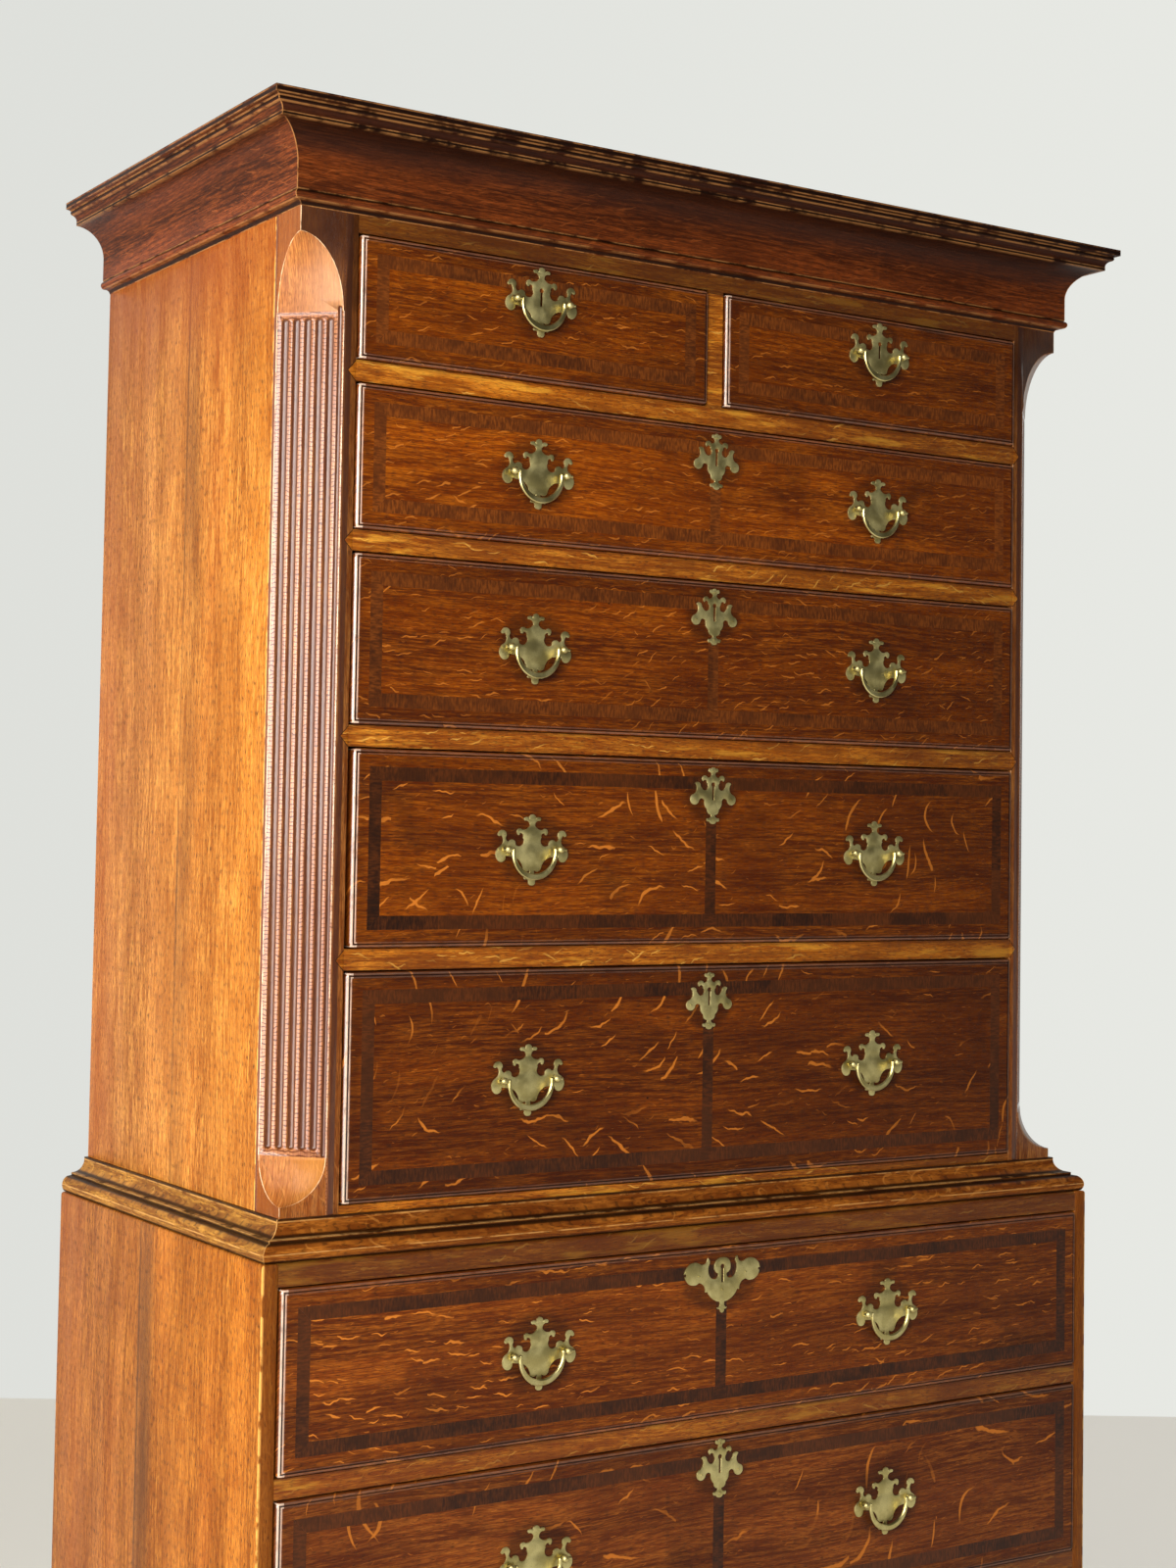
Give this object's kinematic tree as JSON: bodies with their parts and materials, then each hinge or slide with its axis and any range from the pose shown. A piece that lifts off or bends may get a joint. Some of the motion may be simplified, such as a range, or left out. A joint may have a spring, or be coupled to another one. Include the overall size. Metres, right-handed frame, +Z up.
{
  "type": "chest on chest",
  "caption": "Tall oak chest of drawers in two cases, with crossbanded drawers, pierced brass plates with swinging bails, fluted canted corners, a coved cornice and bracket feet",
  "frame": {"origin": "centre of the bounding box at floor level", "axes": "+Z up, -Y out of the drawer fronts, +X to the right of a person facing the drawers"},
  "size_m": [1.13, 0.56, 1.945],
  "materials": {
    "side_oak": "waxed, worn",
    "front_oak": "waxed, worn",
    "rail_oak": "waxed, worn",
    "corner_oak": "waxed, worn",
    "moulding_oak": "waxed, worn",
    "lining_oak": "unfinished",
    "mahogany": "waxed",
    "brass": "cast, aged"
  },
  "bodies": {
    "lower_case": {"lower_sides": "side_oak", "lower_top": "lining_oak", "lower_bottom": "lining_oak", "lower_back": "lining_oak", "lower_rails": "rail_oak", "lower_runners": "lining_oak", "base_moulding": "moulding_oak", "bracket_feet": "moulding_oak"},
    "upper_case": {"upper_sides": "side_oak", "upper_top": "lining_oak", "upper_bottom": "lining_oak", "upper_back": "lining_oak", "upper_rails": "rail_oak", "upper_runners": "lining_oak", "canted_corners": "corner_oak", "cornice": "moulding_oak", "waist_moulding": "moulding_oak"},
    "upper_short_left": {"upper_short_left_drawer": "front_oak", "upper_short_left_crossband": "mahogany", "upper_short_left_brasses": "brass"},
    "upper_short_left_bail": {"upper_short_left_bail": "brass"},
    "upper_short_right": {"upper_short_right_drawer": "front_oak", "upper_short_right_crossband": "mahogany", "upper_short_right_brasses": "brass"},
    "upper_short_right_bail": {"upper_short_right_bail": "brass"},
    "upper_long_1": {"upper_long_1_drawer": "front_oak", "upper_long_1_crossband": "mahogany", "upper_long_1_brasses": "brass"},
    "upper_long_1_bail_left": {"upper_long_1_bail_left": "brass"},
    "upper_long_1_bail_right": {"upper_long_1_bail_right": "brass"},
    "upper_long_2": {"upper_long_2_drawer": "front_oak", "upper_long_2_crossband": "mahogany", "upper_long_2_brasses": "brass"},
    "upper_long_2_bail_left": {"upper_long_2_bail_left": "brass"},
    "upper_long_2_bail_right": {"upper_long_2_bail_right": "brass"},
    "upper_long_3": {"upper_long_3_drawer": "front_oak", "upper_long_3_crossband": "mahogany", "upper_long_3_brasses": "brass"},
    "upper_long_3_bail_left": {"upper_long_3_bail_left": "brass"},
    "upper_long_3_bail_right": {"upper_long_3_bail_right": "brass"},
    "upper_long_4": {"upper_long_4_drawer": "front_oak", "upper_long_4_crossband": "mahogany", "upper_long_4_brasses": "brass"},
    "upper_long_4_bail_left": {"upper_long_4_bail_left": "brass"},
    "upper_long_4_bail_right": {"upper_long_4_bail_right": "brass"},
    "lower_long_1": {"lower_long_1_drawer": "front_oak", "lower_long_1_crossband": "mahogany", "lower_long_1_brasses": "brass"},
    "lower_long_1_bail_left": {"lower_long_1_bail_left": "brass"},
    "lower_long_1_bail_right": {"lower_long_1_bail_right": "brass"},
    "lower_long_2": {"lower_long_2_drawer": "front_oak", "lower_long_2_crossband": "mahogany", "lower_long_2_brasses": "brass"},
    "lower_long_2_bail_left": {"lower_long_2_bail_left": "brass"},
    "lower_long_2_bail_right": {"lower_long_2_bail_right": "brass"},
    "lower_long_3": {"lower_long_3_drawer": "front_oak", "lower_long_3_crossband": "mahogany", "lower_long_3_brasses": "brass"},
    "lower_long_3_bail_left": {"lower_long_3_bail_left": "brass"},
    "lower_long_3_bail_right": {"lower_long_3_bail_right": "brass"}
  },
  "joints": [
    {"name": "upper_case_lift", "type": "slide", "parent": "lower_case", "child": "upper_case", "axis": [0, 0, 1], "range_m": [0, 0.1]},
    {"name": "upper_short_left_slide", "type": "slide", "parent": "upper_case", "child": "upper_short_left", "axis": [0, -1, 0], "range_m": [0, 0.35]},
    {"name": "upper_short_left_bail_hinge", "type": "hinge", "parent": "upper_short_left", "child": "upper_short_left_bail", "pos_m": [-0.23, -0.2352, 1.7845], "axis": [-1, 0, 0], "range_deg": [-4, 120]},
    {"name": "upper_short_right_slide", "type": "slide", "parent": "upper_case", "child": "upper_short_right", "axis": [0, -1, 0], "range_m": [0, 0.35]},
    {"name": "upper_short_right_bail_hinge", "type": "hinge", "parent": "upper_short_right", "child": "upper_short_right_bail", "pos_m": [0.23, -0.2352, 1.7845], "axis": [-1, 0, 0], "range_deg": [-4, 120]},
    {"name": "upper_long_1_slide", "type": "slide", "parent": "upper_case", "child": "upper_long_1", "axis": [0, -1, 0], "range_m": [0, 0.35]},
    {"name": "upper_long_1_bail_left_hinge", "type": "hinge", "parent": "upper_long_1", "child": "upper_long_1_bail_left", "pos_m": [-0.23, -0.2352, 1.6025], "axis": [-1, 0, 0], "range_deg": [-4, 120]},
    {"name": "upper_long_1_bail_right_hinge", "type": "hinge", "parent": "upper_long_1", "child": "upper_long_1_bail_right", "pos_m": [0.23, -0.2352, 1.6025], "axis": [-1, 0, 0], "range_deg": [-4, 120]},
    {"name": "upper_long_2_slide", "type": "slide", "parent": "upper_case", "child": "upper_long_2", "axis": [0, -1, 0], "range_m": [0, 0.35]},
    {"name": "upper_long_2_bail_left_hinge", "type": "hinge", "parent": "upper_long_2", "child": "upper_long_2_bail_left", "pos_m": [-0.23, -0.2352, 1.4185], "axis": [-1, 0, 0], "range_deg": [-4, 120]},
    {"name": "upper_long_2_bail_right_hinge", "type": "hinge", "parent": "upper_long_2", "child": "upper_long_2_bail_right", "pos_m": [0.23, -0.2352, 1.4185], "axis": [-1, 0, 0], "range_deg": [-4, 120]},
    {"name": "upper_long_3_slide", "type": "slide", "parent": "upper_case", "child": "upper_long_3", "axis": [0, -1, 0], "range_m": [0, 0.35]},
    {"name": "upper_long_3_bail_left_hinge", "type": "hinge", "parent": "upper_long_3", "child": "upper_long_3_bail_left", "pos_m": [-0.23, -0.2352, 1.2085], "axis": [-1, 0, 0], "range_deg": [-4, 120]},
    {"name": "upper_long_3_bail_right_hinge", "type": "hinge", "parent": "upper_long_3", "child": "upper_long_3_bail_right", "pos_m": [0.23, -0.2352, 1.2085], "axis": [-1, 0, 0], "range_deg": [-4, 120]},
    {"name": "upper_long_4_slide", "type": "slide", "parent": "upper_case", "child": "upper_long_4", "axis": [0, -1, 0], "range_m": [0, 0.35]},
    {"name": "upper_long_4_bail_left_hinge", "type": "hinge", "parent": "upper_long_4", "child": "upper_long_4_bail_left", "pos_m": [-0.23, -0.2352, 0.97], "axis": [-1, 0, 0], "range_deg": [-4, 120]},
    {"name": "upper_long_4_bail_right_hinge", "type": "hinge", "parent": "upper_long_4", "child": "upper_long_4_bail_right", "pos_m": [0.23, -0.2352, 0.97], "axis": [-1, 0, 0], "range_deg": [-4, 120]},
    {"name": "lower_long_1_slide", "type": "slide", "parent": "lower_case", "child": "lower_long_1", "axis": [0, -1, 0], "range_m": [0, 0.35]},
    {"name": "lower_long_1_bail_left_hinge", "type": "hinge", "parent": "lower_long_1", "child": "lower_long_1_bail_left", "pos_m": [-0.23, -0.2662, 0.695], "axis": [-1, 0, 0], "range_deg": [-4, 120]},
    {"name": "lower_long_1_bail_right_hinge", "type": "hinge", "parent": "lower_long_1", "child": "lower_long_1_bail_right", "pos_m": [0.23, -0.2662, 0.695], "axis": [-1, 0, 0], "range_deg": [-4, 120]},
    {"name": "lower_long_2_slide", "type": "slide", "parent": "lower_case", "child": "lower_long_2", "axis": [0, -1, 0], "range_m": [0, 0.35]},
    {"name": "lower_long_2_bail_left_hinge", "type": "hinge", "parent": "lower_long_2", "child": "lower_long_2_bail_left", "pos_m": [-0.23, -0.2662, 0.485], "axis": [-1, 0, 0], "range_deg": [-4, 120]},
    {"name": "lower_long_2_bail_right_hinge", "type": "hinge", "parent": "lower_long_2", "child": "lower_long_2_bail_right", "pos_m": [0.23, -0.2662, 0.485], "axis": [-1, 0, 0], "range_deg": [-4, 120]},
    {"name": "lower_long_3_slide", "type": "slide", "parent": "lower_case", "child": "lower_long_3", "axis": [0, -1, 0], "range_m": [0, 0.35]},
    {"name": "lower_long_3_bail_left_hinge", "type": "hinge", "parent": "lower_long_3", "child": "lower_long_3_bail_left", "pos_m": [-0.23, -0.2662, 0.259], "axis": [-1, 0, 0], "range_deg": [-4, 120]},
    {"name": "lower_long_3_bail_right_hinge", "type": "hinge", "parent": "lower_long_3", "child": "lower_long_3_bail_right", "pos_m": [0.23, -0.2662, 0.259], "axis": [-1, 0, 0], "range_deg": [-4, 120]}
  ]
}
